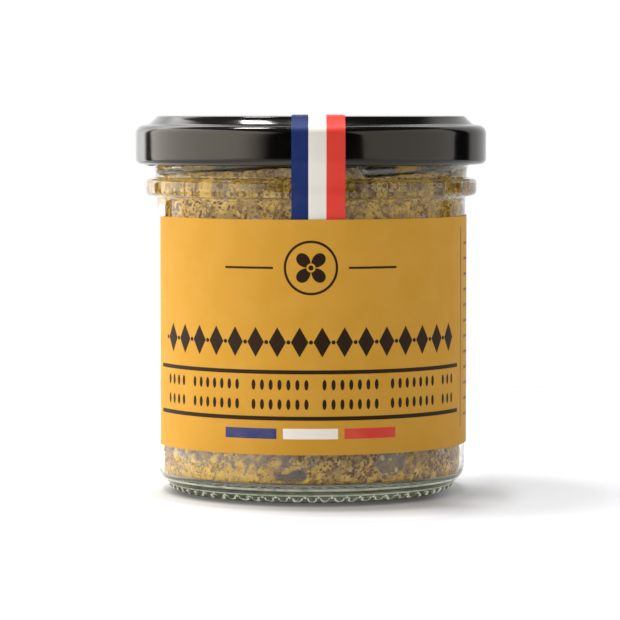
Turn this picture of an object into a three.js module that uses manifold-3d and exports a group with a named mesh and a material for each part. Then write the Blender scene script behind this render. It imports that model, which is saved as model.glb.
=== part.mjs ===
// Squat jar of wholegrain mustard: a clear glass jar with a transfer bead, twist-off threads and a
// stippled foot, the mustard in it, a black lacquered lid, a paper label round the body, and a paper
// seal band that runs from the label over the lid and down to the label behind. Millimetres, +Z up.
// The origin is the middle of the foot, on the surface the jar stands on. The front faces -Y.

import * as THREE from "three";
import { mergeVertices } from "three/addons/utils/BufferGeometryUtils.js";
import Module from "manifold-3d";

const wasm = await Module();
wasm.setup();

// Lid: one sheet of tinplate with a raised panel, a sealing shoulder and a rolled hem
const LID_RADIUS = 36.25;
const LID_SHEET = 0.45;
const PANEL_Z = 77.2;
const PANEL_RADIUS = 31.7;
const PANEL_EDGE = 0.7;
const PANEL_FOOT_RADIUS = 33.7;
const SHOULDER_Z = 75.3;
const SHOULDER_ROUND = 1.75;
const HEM_Z = 67.3;
const HEM_ROUND = 1.1;
const LUG_COUNT = 4;
const LUG_SIZE = new THREE.Vector3(5.2, 1.6, 0.8);
const LUG_ANGLE = 11;
const LUG_RISE = 0.1;

// Jar: foot, heel, body, bead, neck and rim
const FOOT_RADIUS = 28.2;
const FOOT_WIDTH = 2.6;
const PUNT_HEIGHT = 1.1;
const HEEL_SLOPE = 47;
const HEEL_ROUND = 3.6;
const HEEL_TOP_Z = 5.0;
const BODY_RADIUS = 31.95;
const BODY_FOOT_Z = 9.0;
const HEEL_RADIUS = 31.9;
const BEAD_RADIUS = 34.3;
const BEAD_BOTTOM_Z = 60.8;
const BEAD_TOP_Z = 64.35;
const BEAD_ROUND = 1.0;
const GROOVE_RADIUS = 32.2;
const FINISH_RADIUS = 32.6;
const FINISH_Z = 68.0;
const RIM_Z = 74.9;
const RIM_ROUND = 0.8;
const BORE_RADIUS = 30.2;
const NECK_BORE_RADIUS = 29.3;
const NECK_BORE_Z = 64.0;
const FLOOR_Z = 3.2;
const FLOOR_ROUND = 2.0;

// Four thread ridges, each a quarter turn apart
const THREAD_COUNT = 4;
const THREAD_ROUND = 1.2;
const THREAD_RADIUS = 32.5;
const THREAD_START_ANGLE = 21;
const THREAD_SWEEP = 72;
const THREAD_START_Z = 66.3;
const THREAD_LEAD = 11.5;
const THREAD_STEPS = 10;

// Stipples round the foot
const STIPPLE_COUNT = 64;
const STIPPLE_RADIUS = 0.8;
const STIPPLE_PROUD = 0.35;
const STIPPLE_UP_CONE = 0.4;

// Mustard: fills the jar up to the neck, its top lumpy and higher on the left
const MUSTARD_GAP = 0.3;
const MUSTARD_LEVEL_Z = 65.7;
const MUSTARD_TILT = 0.5;
const MUSTARD_LUMP = 0.45;
const MUSTARD_LUMP_PITCH = 9;
const POCKET_COUNT = 14;
const POCKET_TURN = 137.5;
const POCKET_WIDTH = 2.1;
const POCKET_WIDTH_SPREAD = 0.7;
const POCKET_HEIGHT_SHARE = 0.6;
const POCKET_DEPTH = 0.9;
const POCKET_LOW_Z = 9.0;
const POCKET_ROW_STEP = 0.9;
const POCKET_HIGH_Z = 59.0;

// Label: one sheet, its left edge just past the side, its other end round the back
const LABEL_BOTTOM_Z = 9.9;
const LABEL_TOP_Z = 56.75;
const LABEL_START_ANGLE = -73;
const LABEL_END_ANGLE = 245;
const LABEL_GAP = 0.15;
const PAPER = 0.15;

// Seal band across the lid, a little right of the middle
const BAND_WIDTH = 10.65;
const BAND_OFFSET = 1.45;
const BAND_GAP = 0.12;
const BAND_LABEL_GAP = 0.3;

// Steps of every turned shape, and of each quarter of an arc in a profile
const ROUND_STEPS = 48;
const ARC_STEPS = 3;

const { degToRad } = THREE.MathUtils;

/** A material of the given look. */
function finish(color, roughness, metalness = 0, opacity = 1) {
  return new THREE.MeshStandardMaterial({ color, roughness, metalness, opacity, transparent: opacity < 1 });
}

/** The point at a radius, an angle from the front towards the right, and a height. */
function polar(radius, angle, z) {
  const turn = degToRad(angle);
  return new THREE.Vector3(radius * Math.sin(turn), -radius * Math.cos(turn), z);
}

/** The points of a profile path (radius, height), without doubles. */
function pointsOf(path) {
  const points = path.getPoints(ARC_STEPS);
  return points.filter((point, i) => i === 0 || point.distanceTo(points[i - 1]) > 1e-6);
}

/** An open profile moved sideways: to the left of its direction where the distance is positive. */
function offset(points, distance) {
  return points.map((point, i) => {
    const into = point.clone().sub(points[Math.max(i - 1, 0)]).normalize();
    const out = points[Math.min(i + 1, points.length - 1)].clone().sub(point).normalize();
    const along = into.clone().add(out).normalize();
    const widen = 1 / Math.max(along.dot(i === 0 ? out : into), 0.5);
    return new THREE.Vector2(point.x - along.y * distance * widen, point.y + along.x * distance * widen);
  });
}

/** A geometry with its seams closed, so that it stays closed when it is moved and shaped. */
function closed(geometry) {
  geometry.deleteAttribute("normal");
  geometry.deleteAttribute("uv");
  return mergeVertices(geometry, 1e-4);
}

/** A profile turned about +Z. It ends on the axis at both ends, or closes on itself. */
function turned(points) {
  return closed(new THREE.LatheGeometry(points, ROUND_STEPS)).rotateX(Math.PI / 2);
}

/** A closed geometry as a solid for joining and cutting. */
function solid(geometry) {
  const vertProperties = geometry.getAttribute("position").array;
  const triVerts = new Uint32Array(geometry.index.array);
  return new wasm.Manifold(new wasm.Mesh({ numProp: 3, vertProperties, triVerts }));
}

/** A solid as a geometry again. */
function geometryOf(body) {
  const { numVert, numProp, vertProperties, triVerts } = body.getMesh();
  const positions = new Float32Array(numVert * 3);
  for (let i = 0; i < numVert; i++) {
    positions.set(vertProperties.subarray(i * numProp, i * numProp + 3), i * 3);
  }
  const geometry = new THREE.BufferGeometry();
  geometry.setAttribute("position", new THREE.BufferAttribute(positions, 3));
  geometry.setIndex(new THREE.BufferAttribute(triVerts, 1));
  geometry.computeVertexNormals();
  return geometry;
}

/** A named piece of the jar. */
function piece(name, body, material) {
  const mesh = new THREE.Mesh(geometryOf(body), material);
  mesh.name = name;
  return mesh;
}

// The lid's outside, from the skirt's foot up and in to the axis
function lidOutside() {
  const path = new THREE.Path();
  path.moveTo(LID_RADIUS, HEM_Z + 2 * HEM_ROUND);
  path.lineTo(LID_RADIUS, SHOULDER_Z - SHOULDER_ROUND);
  path.absarc(LID_RADIUS - SHOULDER_ROUND, SHOULDER_Z - SHOULDER_ROUND, SHOULDER_ROUND, 0, Math.PI / 2);
  path.lineTo(PANEL_FOOT_RADIUS, SHOULDER_Z);
  path.lineTo(PANEL_RADIUS + PANEL_EDGE, PANEL_Z - PANEL_EDGE);
  path.quadraticCurveTo(PANEL_RADIUS + PANEL_EDGE / 2, PANEL_Z, PANEL_RADIUS - PANEL_EDGE, PANEL_Z);
  path.lineTo(0, PANEL_Z);
  return pointsOf(path);
}

// One thread ridge's middle line, climbing to the right
class ThreadLine extends THREE.Curve {
  constructor(startAngle) {
    super();
    this.startAngle = startAngle;
  }

  getPoint(t) {
    const sweep = t * THREAD_SWEEP;
    return polar(THREAD_RADIUS, this.startAngle + sweep, THREAD_START_Z + (THREAD_LEAD * sweep) / 360);
  }
}

function thread(index) {
  const section = new THREE.Shape().absarc(0, 0, THREAD_ROUND, 0, 2 * Math.PI);
  const startAngle = THREAD_START_ANGLE + (index * 360) / THREAD_COUNT;
  const geometry = new THREE.ExtrudeGeometry(section, {
    extrudePath: new ThreadLine(startAngle),
    steps: THREAD_STEPS,
    curveSegments: 4,
  });
  return closed(geometry);
}

// The heel's cone meets its round at the end of the slope, worked out from the round's middle
function heelEnd() {
  const slope = degToRad(HEEL_SLOPE);
  const radius = HEEL_RADIUS - HEEL_ROUND * (1 - Math.cos(slope));
  return new THREE.Vector2(radius, HEEL_TOP_Z - HEEL_ROUND * Math.sin(slope));
}

function stipple(index) {
  const coneFoot = new THREE.Vector2(FOOT_RADIUS, 0);
  const cone = heelEnd().sub(coneFoot);
  const normal = new THREE.Vector2(cone.y, -cone.x).normalize();
  const middle = coneFoot.addScaledVector(cone, STIPPLE_UP_CONE);
  middle.addScaledVector(normal, STIPPLE_PROUD - STIPPLE_RADIUS);
  const place = polar(middle.x, (index * 360) / STIPPLE_COUNT, middle.y);
  return closed(new THREE.SphereGeometry(STIPPLE_RADIUS, 5, 3)).translate(place.x, place.y, place.z);
}

function glassJar() {
  const path = new THREE.Path();
  path.moveTo(0, PUNT_HEIGHT);
  path.lineTo(FOOT_RADIUS - FOOT_WIDTH - 2 * PUNT_HEIGHT, PUNT_HEIGHT);
  path.lineTo(FOOT_RADIUS - FOOT_WIDTH, 0);
  path.lineTo(FOOT_RADIUS, 0);
  path.absarc(HEEL_RADIUS - HEEL_ROUND, HEEL_TOP_Z, HEEL_ROUND, -degToRad(HEEL_SLOPE), 0);
  path.lineTo(BODY_RADIUS, BODY_FOOT_Z);
  path.lineTo(BODY_RADIUS, BEAD_BOTTOM_Z - BEAD_ROUND / 2);
  path.lineTo(BODY_RADIUS + BEAD_ROUND / 2, BEAD_BOTTOM_Z);
  path.absarc(BEAD_RADIUS - BEAD_ROUND, BEAD_BOTTOM_Z + BEAD_ROUND, BEAD_ROUND, -Math.PI / 2, 0);
  path.absarc(BEAD_RADIUS - BEAD_ROUND, BEAD_TOP_Z - BEAD_ROUND, BEAD_ROUND, 0, Math.PI / 2);
  path.lineTo(GROOVE_RADIUS, BEAD_TOP_Z + BEAD_ROUND / 2);
  path.lineTo(GROOVE_RADIUS, THREAD_START_Z);
  path.lineTo(FINISH_RADIUS, FINISH_Z);
  path.absarc(FINISH_RADIUS - RIM_ROUND, RIM_Z - RIM_ROUND, RIM_ROUND, 0, Math.PI / 2);
  path.lineTo(NECK_BORE_RADIUS + RIM_ROUND, RIM_Z);
  path.lineTo(NECK_BORE_RADIUS, RIM_Z - RIM_ROUND);
  path.lineTo(NECK_BORE_RADIUS, NECK_BORE_Z);
  path.quadraticCurveTo(BORE_RADIUS, BEAD_BOTTOM_Z + BEAD_ROUND, BORE_RADIUS, BEAD_BOTTOM_Z - BEAD_ROUND);
  path.absarc(BORE_RADIUS - FLOOR_ROUND, FLOOR_Z + FLOOR_ROUND, FLOOR_ROUND, 0, -Math.PI / 2, true);
  path.lineTo(0, FLOOR_Z);
  let body = solid(turned(pointsOf(path)));
  for (let i = 0; i < THREAD_COUNT; i++) {
    body = body.add(solid(thread(i)));
  }
  for (let i = 0; i < STIPPLE_COUNT; i++) {
    body = body.add(solid(stipple(i)));
  }
  return piece("glass_jar", body, finish(0xdfe6df, 0.05, 0, 0.35));
}

// How far the mustard's top stands above its mean level
function mustardTop(x, y) {
  const wave = (2 * Math.PI) / MUSTARD_LUMP_PITCH;
  const lumps = Math.sin(wave * x) * Math.cos(wave * y);
  return (-MUSTARD_TILT * x) / NECK_BORE_RADIUS + MUSTARD_LUMP * lumps;
}

// Air pockets against the glass, low down and under the bead, spread by the golden angle
function pocket(index) {
  const low = index % 3 !== 2;
  const width = POCKET_WIDTH + POCKET_WIDTH_SPREAD * Math.sin(index);
  const height = low ? POCKET_LOW_Z - POCKET_ROW_STEP * (index % 4) : POCKET_HIGH_Z;
  const place = polar(BORE_RADIUS - MUSTARD_GAP, index * POCKET_TURN, height);
  const geometry = closed(new THREE.SphereGeometry(1, 8, 5));
  geometry.scale(width, POCKET_DEPTH, POCKET_HEIGHT_SHARE * width);
  return geometry.rotateZ(degToRad(index * POCKET_TURN)).translate(place.x, place.y, place.z);
}

function mustard() {
  const radius = BORE_RADIUS - MUSTARD_GAP;
  const neckRadius = NECK_BORE_RADIUS - MUSTARD_GAP;
  const bottom = FLOOR_Z + MUSTARD_GAP;
  const path = new THREE.Path();
  path.moveTo(0, bottom);
  path.lineTo(radius - FLOOR_ROUND, bottom);
  path.absarc(radius - FLOOR_ROUND, bottom + FLOOR_ROUND, FLOOR_ROUND, -Math.PI / 2, 0);
  path.lineTo(radius, BEAD_BOTTOM_Z - BEAD_ROUND - MUSTARD_GAP);
  path.quadraticCurveTo(radius, BEAD_BOTTOM_Z, neckRadius, NECK_BORE_Z - MUSTARD_GAP);
  for (let ring = 4; ring >= 0; ring--) {
    path.lineTo((neckRadius * ring) / 4, MUSTARD_LEVEL_Z);
  }
  const geometry = turned(pointsOf(path));
  const points = geometry.getAttribute("position");
  for (let i = 0; i < points.count; i++) {
    if (points.getZ(i) > MUSTARD_LEVEL_Z - 1e-3) {
      points.setZ(i, MUSTARD_LEVEL_Z + mustardTop(points.getX(i), points.getY(i)));
    }
  }
  let body = solid(geometry);
  for (let i = 0; i < POCKET_COUNT; i++) {
    body = body.subtract(solid(pocket(i)));
  }
  return piece("mustard", body, finish(0xb98a3a, 0.6));
}

function lug(index) {
  const geometry = closed(new THREE.BoxGeometry(LUG_SIZE.x, LUG_SIZE.y, LUG_SIZE.z));
  const middle = LID_RADIUS - 2 * HEM_ROUND - LUG_SIZE.y / 4;
  geometry.translate(0, -middle, HEM_Z + LUG_RISE);
  return geometry.rotateZ(degToRad(LUG_ANGLE + (index * 360) / LUG_COUNT));
}

function lid() {
  const outside = lidOutside();
  const inside = offset(outside, LID_SHEET).reverse();
  const hemMiddle = new THREE.Vector2(LID_RADIUS - HEM_ROUND, HEM_Z + HEM_ROUND);
  const hem = new THREE.Path();
  hem.moveTo(hemMiddle.x, hemMiddle.y + HEM_ROUND);
  hem.absarc(hemMiddle.x, hemMiddle.y, HEM_ROUND, Math.PI / 2, 2 * Math.PI);
  const profile = [...inside, ...pointsOf(hem), ...outside];
  let body = solid(turned(profile));
  for (let i = 0; i < LUG_COUNT; i++) {
    body = body.add(solid(lug(i)));
  }
  return piece("lid", body, finish(0x0d0c0b, 0.22, 0.3));
}

function label() {
  const start = degToRad(LABEL_START_ANGLE - 90);
  const end = degToRad(LABEL_END_ANGLE - 90);
  const inner = BODY_RADIUS + LABEL_GAP;
  const sheet = new THREE.Shape();
  sheet.absarc(0, 0, inner + PAPER, start, end, false);
  sheet.absarc(0, 0, inner, end, start, true);
  const geometry = new THREE.ExtrudeGeometry(sheet, {
    depth: LABEL_TOP_Z - LABEL_BOTTOM_Z,
    curveSegments: ROUND_STEPS / 2,
    bevelEnabled: false,
  });
  return piece("label", solid(closed(geometry).translate(0, 0, LABEL_BOTTOM_Z)), finish(0xd79a34, 0.7));
}

// The seal band is cut from a thin turned shell that follows the body, the bead and the lid
function sealBand() {
  const path = new THREE.Path();
  path.moveTo(BODY_RADIUS, LABEL_TOP_Z + BAND_LABEL_GAP);
  path.lineTo(BODY_RADIUS, LABEL_TOP_Z + 5 * BAND_LABEL_GAP);
  path.lineTo(BEAD_RADIUS, BEAD_BOTTOM_Z + BEAD_ROUND / 2);
  path.lineTo(BEAD_RADIUS, BEAD_TOP_Z - BEAD_ROUND / 2);
  path.lineTo(LID_RADIUS, HEM_Z + HEM_ROUND);
  const outline = [...pointsOf(path), ...lidOutside()];
  const inner = offset(outline, -BAND_GAP);
  const outer = offset(outline, -BAND_GAP - PAPER);
  const shell = solid(turned([...inner.reverse(), ...outer]));
  const slice = closed(new THREE.BoxGeometry(BAND_WIDTH, 4 * LID_RADIUS, 4 * PANEL_Z));
  const band = shell.intersect(solid(slice.translate(BAND_OFFSET, 0, 0)));
  return piece("seal_band", band, finish(0xdedad4, 0.6));
}

const jar = new THREE.Group();
jar.add(glassJar(), mustard(), lid(), label(), sealBand());

export default jar;
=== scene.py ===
"""A shut jar of wholegrain mustard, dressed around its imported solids.

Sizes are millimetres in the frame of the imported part: +Z up, the origin in the middle of the foot, and the
front towards -Y. Angles are degrees from the front towards the right.
"""

import logging
import math
from collections.abc import Callable, Iterator
from contextlib import contextmanager
from dataclasses import dataclass, field
from enum import Enum

import bpy
import numpy as np
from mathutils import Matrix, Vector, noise


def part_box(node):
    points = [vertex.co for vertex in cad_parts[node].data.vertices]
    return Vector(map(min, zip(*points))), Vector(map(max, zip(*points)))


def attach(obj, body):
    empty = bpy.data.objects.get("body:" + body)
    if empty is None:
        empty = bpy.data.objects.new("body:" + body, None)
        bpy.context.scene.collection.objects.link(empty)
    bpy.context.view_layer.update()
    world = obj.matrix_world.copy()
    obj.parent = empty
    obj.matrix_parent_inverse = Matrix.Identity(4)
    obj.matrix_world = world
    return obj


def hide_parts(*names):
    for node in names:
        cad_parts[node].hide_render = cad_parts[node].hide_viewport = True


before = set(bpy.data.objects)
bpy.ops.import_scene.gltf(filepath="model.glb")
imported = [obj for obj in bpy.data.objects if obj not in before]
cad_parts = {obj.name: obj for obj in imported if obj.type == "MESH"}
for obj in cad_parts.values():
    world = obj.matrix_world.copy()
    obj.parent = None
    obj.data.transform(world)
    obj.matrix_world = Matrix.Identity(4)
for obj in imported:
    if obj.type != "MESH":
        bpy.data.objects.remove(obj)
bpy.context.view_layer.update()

MM = 0.001
SEED = 20
log = logging.getLogger("mustard_jar")

Colour = tuple[float, float, float]
Triple = tuple[float, float, float]
Point = tuple[float, float]
Area = tuple[float, float, float, float]


class Node(Enum):
    """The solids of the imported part."""

    GLASS = "glass_jar"
    MUSTARD = "mustard"
    LID = "lid"
    LABEL = "label"
    BAND = "seal_band"


class Slot(Enum):
    """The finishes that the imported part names."""

    GLASS = "glass"
    MUSTARD = "mustard"
    LID = "lid"
    LABEL = "label"
    BAND = "seal_band"


@dataclass(frozen=True)
class Reach:
    """The lowest and highest corner of a solid, in millimetres."""

    low: np.ndarray
    high: np.ndarray

    @classmethod
    def of(cls, node: Node) -> "Reach":
        """Reads a solid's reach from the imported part."""
        low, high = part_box(node.value)
        return cls(np.array(low) / MM, np.array(high) / MM)

    @property
    def radius(self) -> float:
        """Half of the width."""
        return float(self.high[0] - self.low[0]) / 2


# Shader maths


class Value:
    """A number that changes over a surface: a node's output with the usual operators."""

    def __init__(self, bench: "NodeBench", socket: bpy.types.NodeSocket) -> None:
        """Wraps a node's output socket."""
        self.bench = bench
        self.socket = socket

    def __add__(self, other: "Number") -> "Value":
        """Adds."""
        return self.bench.maths("ADD", self, other)

    __radd__ = __add__

    def __sub__(self, other: "Number") -> "Value":
        """Takes away."""
        return self.bench.maths("SUBTRACT", self, other)

    def __rsub__(self, other: "Number") -> "Value":
        """Is taken away from a number."""
        return self.bench.maths("SUBTRACT", other, self)

    def __mul__(self, other: "Number") -> "Value":
        """Multiplies."""
        return self.bench.maths("MULTIPLY", self, other)

    __rmul__ = __mul__

    def __truediv__(self, other: "Number") -> "Value":
        """Divides."""
        return self.bench.maths("DIVIDE", self, other)

    def __abs__(self) -> "Value":
        """Drops the sign."""
        return self.bench.maths("ABSOLUTE", self)

    def __or__(self, other: "Number") -> "Value":
        """Joins two masks."""
        return self.bench.maths("MAXIMUM", self, other)

    def __pow__(self, other: "Number") -> "Value":
        """Raises to a power."""
        return self.bench.maths("POWER", self, other)

    def fraction(self) -> "Value":
        """What is left after the whole number."""
        return self.bench.maths("FRACT", self)

    def cosine(self) -> "Value":
        """The cosine of an angle in radians."""
        return self.bench.maths("COSINE", self)

    def above(self, edge: float, soft: float) -> "Value":
        """A mask that is 1 above an edge.

        Args:
            edge: where the mask is half.
            soft: how wide the change is.

        Returns:
            The mask, from 0 to 1.
        """
        steps = {"From Min": edge - soft / 2, "From Max": edge + soft / 2, "Value": self}
        ramp = self.bench.node("ShaderNodeMapRange", {"interpolation_type": "SMOOTHSTEP"}, steps)
        return Value(self.bench, ramp.outputs["Result"])

    def below(self, edge: float, soft: float) -> "Value":
        """A mask that is 1 below an edge."""
        return 1 - self.above(edge, soft)

    def between(self, low: float, high: float, soft: float) -> "Value":
        """A mask that is 1 between two edges."""
        return self.above(low, soft) * self.below(high, soft)


Number = Value | float
Paint = bpy.types.NodeSocket | Colour


class NodeBench:
    """Makes the nodes of one material or of the world."""

    def __init__(self, tree: bpy.types.NodeTree) -> None:
        """Clears a node tree to work on."""
        self.tree = tree
        self.tree.nodes.clear()

    def node(self, kind: str, settings: dict | None = None, sockets: dict | None = None) -> bpy.types.Node:
        """Adds one node.

        Args:
            kind: the node's type.
            settings: the node's own properties, which are set first.
            sockets: values or links for its inputs, by name or by place.

        Returns:
            The node.
        """
        made = self.tree.nodes.new(kind)
        for name, setting in (settings or {}).items():
            setattr(made, name, setting)
        for key, given in (sockets or {}).items():
            source = given.socket if isinstance(given, Value) else given
            if isinstance(source, bpy.types.NodeSocket):
                self.tree.links.new(source, made.inputs[key])
            elif isinstance(source, tuple) and made.inputs[key].type == "RGBA":
                made.inputs[key].default_value = (*source, 1.0)
            else:
                made.inputs[key].default_value = source
        return made

    def maths(self, operation: str, *values: Number) -> Value:
        """Works out one Math node on values and plain numbers."""
        sum_node = self.node("ShaderNodeMath", {"operation": operation}, dict(enumerate(values)))
        return Value(self, sum_node.outputs[0])

    def mix(self, share: Number, first: Paint, second: Paint) -> bpy.types.NodeSocket:
        """Mixes two colours, the second by a share from 0 to 1."""
        blend = self.node("ShaderNodeMix", {"data_type": "RGBA"}, {0: share, 6: first, 7: second})
        return blend.outputs[2]

    def place(self) -> bpy.types.NodeSocket:
        """The point on the piece, in metres."""
        return self.node("ShaderNodeTexCoord").outputs["Object"]

    def millimetres(self) -> list[Value]:
        """The three parts of the point on the piece, in millimetres."""
        return [part / MM for part in self.axes(self.place())]

    def axes(self, vector: bpy.types.NodeSocket) -> list[Value]:
        """The three parts of a vector."""
        parts = self.node("ShaderNodeSeparateXYZ", {}, {0: vector})
        return [Value(self, out) for out in parts.outputs]

    def stretched(self, share: Triple) -> bpy.types.NodeSocket:
        """The point on the piece, stretched along its axes."""
        return self.node("ShaderNodeMapping", {}, {"Vector": self.place(), "Scale": share}).outputs[0]

    def noise(self, pitch: float, detail: float = 2.0, vector: bpy.types.NodeSocket | None = None) -> Value:
        """Soft noise with lumps of about the given pitch, from 0 to 1."""
        sockets = {"Vector": vector or self.place(), "Scale": 1 / (pitch * MM), "Detail": detail}
        made = self.node("ShaderNodeTexNoise", {}, sockets)
        return Value(self, made.outputs["Factor" if "Factor" in made.outputs else "Fac"])

    def warped(self, pitch: float, reach: float) -> bpy.types.NodeSocket:
        """The point on the piece, pushed about by soft noise, both in millimetres."""
        soft = self.node("ShaderNodeTexNoise", {}, {"Vector": self.place(), "Scale": 1 / (pitch * MM)})
        push = {0: soft.outputs["Color"], 1: (reach * MM,) * 3, 2: self.place()}
        return self.node("ShaderNodeVectorMath", {"operation": "MULTIPLY_ADD"}, push).outputs[0]

    def cells(self, pitch: float, feature: str = "F1", vector: bpy.types.NodeSocket | None = None) -> Value:
        """The distance to scattered points, or to the edges between them, in shares of their pitch."""
        sockets = {"Vector": vector or self.place(), "Scale": 1 / (pitch * MM)}
        made = self.node("ShaderNodeTexVoronoi", {"feature": feature}, sockets)
        return Value(self, made.outputs["Distance"])

    def attribute(self, name: str) -> Value:
        """A number that the mesh carries at its points."""
        return Value(self, self.node("ShaderNodeAttribute", {"attribute_name": name}).outputs["Fac"])

    def away(self, across: Value, up: Value) -> Value:
        """The distance from the middle of a plane."""
        return self.maths("SQRT", across * across + up * up)

    def bump(self, height: Value, depth: float) -> bpy.types.NodeSocket:
        """The normal of a surface with a relief of the given depth in millimetres."""
        made = self.node("ShaderNodeBump", {}, {"Height": height, "Distance": depth * MM})
        return made.outputs["Normal"]

    def principled(self, sockets: dict) -> bpy.types.NodeSocket:
        """The usual surface shader."""
        return self.node("ShaderNodeBsdfPrincipled", {}, sockets).outputs[0]


def new_material(name: str) -> tuple[bpy.types.Material, NodeBench]:
    """An empty material and the bench for its nodes."""
    material = bpy.data.materials.new(name)
    material.use_nodes = True
    return material, NodeBench(material.node_tree)


def finished(material: bpy.types.Material, bench: NodeBench, sockets: dict) -> bpy.types.Material:
    """Gives a material the usual surface shader, with values or links for its inputs."""
    bench.node("ShaderNodeOutputMaterial", {}, {"Surface": bench.principled(sockets)})
    return material


# Modelling


@dataclass
class Outline:
    """A profile of (radius, height) points, drawn as a path."""

    points: list[Point]

    def line(self, radius: float, z: float, steps: int = 1) -> None:
        """Goes straight to a point, in equal steps."""
        start = np.array(self.points[-1])
        way = np.array((radius, z)) - start
        self.points += [tuple(start + way * (i + 1) / steps) for i in range(steps)]

    def arc(self, middle: Point, size: float, start: float, end: float, steps: int) -> None:
        """Goes along an arc, by angles in degrees from outwards towards up."""
        for turn in np.radians(np.linspace(start, end, steps + 1)):
            point = (middle[0] + size * math.cos(turn), middle[1] + size * math.sin(turn))
            if math.dist(point, self.points[-1]) > 1e-4:
                self.points.append(point)

    def curve(self, pull: Point, end: Point, steps: int) -> None:
        """Goes along a curve that one point pulls."""
        start = np.array(self.points[-1])
        for t in np.linspace(0, 1, steps + 1)[1:]:
            point = (1 - t) ** 2 * start + 2 * t * (1 - t) * np.array(pull) + t * t * np.array(end)
            self.points.append(tuple(point))


def new_piece(name: str, add: Callable[..., set[str]], **settings: float | Triple) -> bpy.types.Object:
    """Adds a primitive with nothing else selected, and names it."""
    bpy.ops.object.select_all(action="DESELECT")
    add(**settings)
    piece = bpy.context.object
    piece.name = name
    return piece


def flat_grid(name: str, columns: int, rows: int) -> tuple[bpy.types.Object, np.ndarray]:
    """Adds a flat grid to make a sheet of.

    Args:
        name: the piece's name.
        columns: how many steps it has across.
        rows: how many steps it has along.

    Returns:
        The piece, and each point's place on the sheet, from 0 to 1 both ways.
    """
    sizes = {"x_subdivisions": columns, "y_subdivisions": rows, "size": MM}
    piece = new_piece(name, bpy.ops.mesh.primitive_grid_add, **sizes)
    return piece, points_of(piece)[:, :2] + 0.5


@contextmanager
def editing() -> Iterator[None]:
    """Edits the whole mesh of the piece at work, then goes back to object mode."""
    bpy.ops.object.mode_set(mode="EDIT")
    bpy.ops.mesh.select_all(action="SELECT")
    yield
    bpy.ops.object.mode_set(mode="OBJECT")


def turned(name: str, outline: Outline, columns: int) -> bpy.types.Object:
    """Draws an outline vertex by vertex and turns it round the jar's axis.

    Args:
        name: the piece's name.
        outline: a profile that ends on the axis or closes on itself.
        columns: how many steps make the whole turn.

    Returns:
        The closed, smooth piece.
    """
    piece = new_piece(name, bpy.ops.mesh.primitive_plane_add, size=MM)
    piece.data.name = name
    with editing():
        bpy.ops.mesh.merge(type="CENTER")
        here = np.zeros(3)
        for i, (radius, z) in enumerate(outline.points):
            there = np.array((0.0, -radius, z)) * MM
            step = {"value": tuple(there - here)}
            if i == 0:
                bpy.ops.transform.translate(**step)
            else:
                bpy.ops.mesh.extrude_region_move(TRANSFORM_OT_translate=step)
            here = there
    apply_modifier(piece, "SCREW", {"angle": 2 * math.pi, "steps": columns, "render_steps": columns})
    with editing():
        bpy.ops.mesh.remove_doubles(threshold=1e-6)
        bpy.ops.mesh.normals_make_consistent(inside=False)
    bpy.ops.object.shade_smooth()
    return piece


def points_of(piece: bpy.types.Object) -> np.ndarray:
    """A piece's points, in millimetres."""
    flat = np.empty(len(piece.data.vertices) * 3, np.float32)
    piece.data.vertices.foreach_get("co", flat)
    return flat.reshape(-1, 3).astype(float) / MM


def move_points(piece: bpy.types.Object, points: np.ndarray) -> None:
    """Puts a piece's points in new places, in millimetres."""
    piece.data.vertices.foreach_set("co", (points * MM).astype(np.float32).ravel())
    piece.data.update()


def carry(piece: bpy.types.Object, name: str, values: np.ndarray) -> None:
    """Stores a number at each of a piece's points, for its material."""
    attribute = piece.data.attributes.new(name, "FLOAT", "POINT")
    attribute.data.foreach_set("value", values.astype(np.float32))


def polar(points: np.ndarray) -> tuple[np.ndarray, np.ndarray]:
    """The radius and the angle in degrees of each point."""
    return np.hypot(points[:, 0], points[:, 1]), np.degrees(np.arctan2(points[:, 0], -points[:, 1]))


def around(radius: np.ndarray | float, angle: np.ndarray, z: np.ndarray) -> np.ndarray:
    """Points at a radius, an angle in degrees and a height."""
    turn = np.radians(angle)
    return np.stack(np.broadcast_arrays(radius * np.sin(turn), -radius * np.cos(turn), z), axis=1)


def wander(points: np.ndarray, pitch: float, layer: float = 0.0) -> np.ndarray:
    """Smooth noise, about -1 to 1, with lumps of the given pitch in millimetres."""
    rows = (points / pitch + layer).tolist()
    return np.array([noise.noise(row) for row in rows])


def ease(values: np.ndarray, low: float, high: float) -> np.ndarray:
    """A smooth step from 0 at low to 1 at high."""
    t = np.clip((values - low) / (high - low), 0, 1)
    return t * t * (3 - 2 * t)


def apply_modifier(piece: bpy.types.Object, kind: str, settings: dict) -> None:
    """Adds a modifier with its settings and applies it."""
    bpy.ops.object.select_all(action="DESELECT")
    piece.select_set(True)
    bpy.context.view_layer.objects.active = piece
    modifier = piece.modifiers.new(kind.title(), kind)
    for name, setting in settings.items():
        setattr(modifier, name, setting)
    bpy.ops.object.modifier_apply(modifier=modifier.name)


def dress(
    piece: bpy.types.Object, material: bpy.types.Material, node: Node | None = None
) -> None:
    """Gives a piece its finish and fixes it to the jar.

    Args:
        piece: the finished mesh.
        material: its finish.
        node: the solid that the piece stands for, if any.
    """
    piece.data.materials.clear()
    piece.data.materials.append(material)
    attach(piece, "root")
    if node is not None:
        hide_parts(node.value)
    log.info("%s: %d faces", piece.name, len(piece.data.polygons))


# Glass


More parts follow.
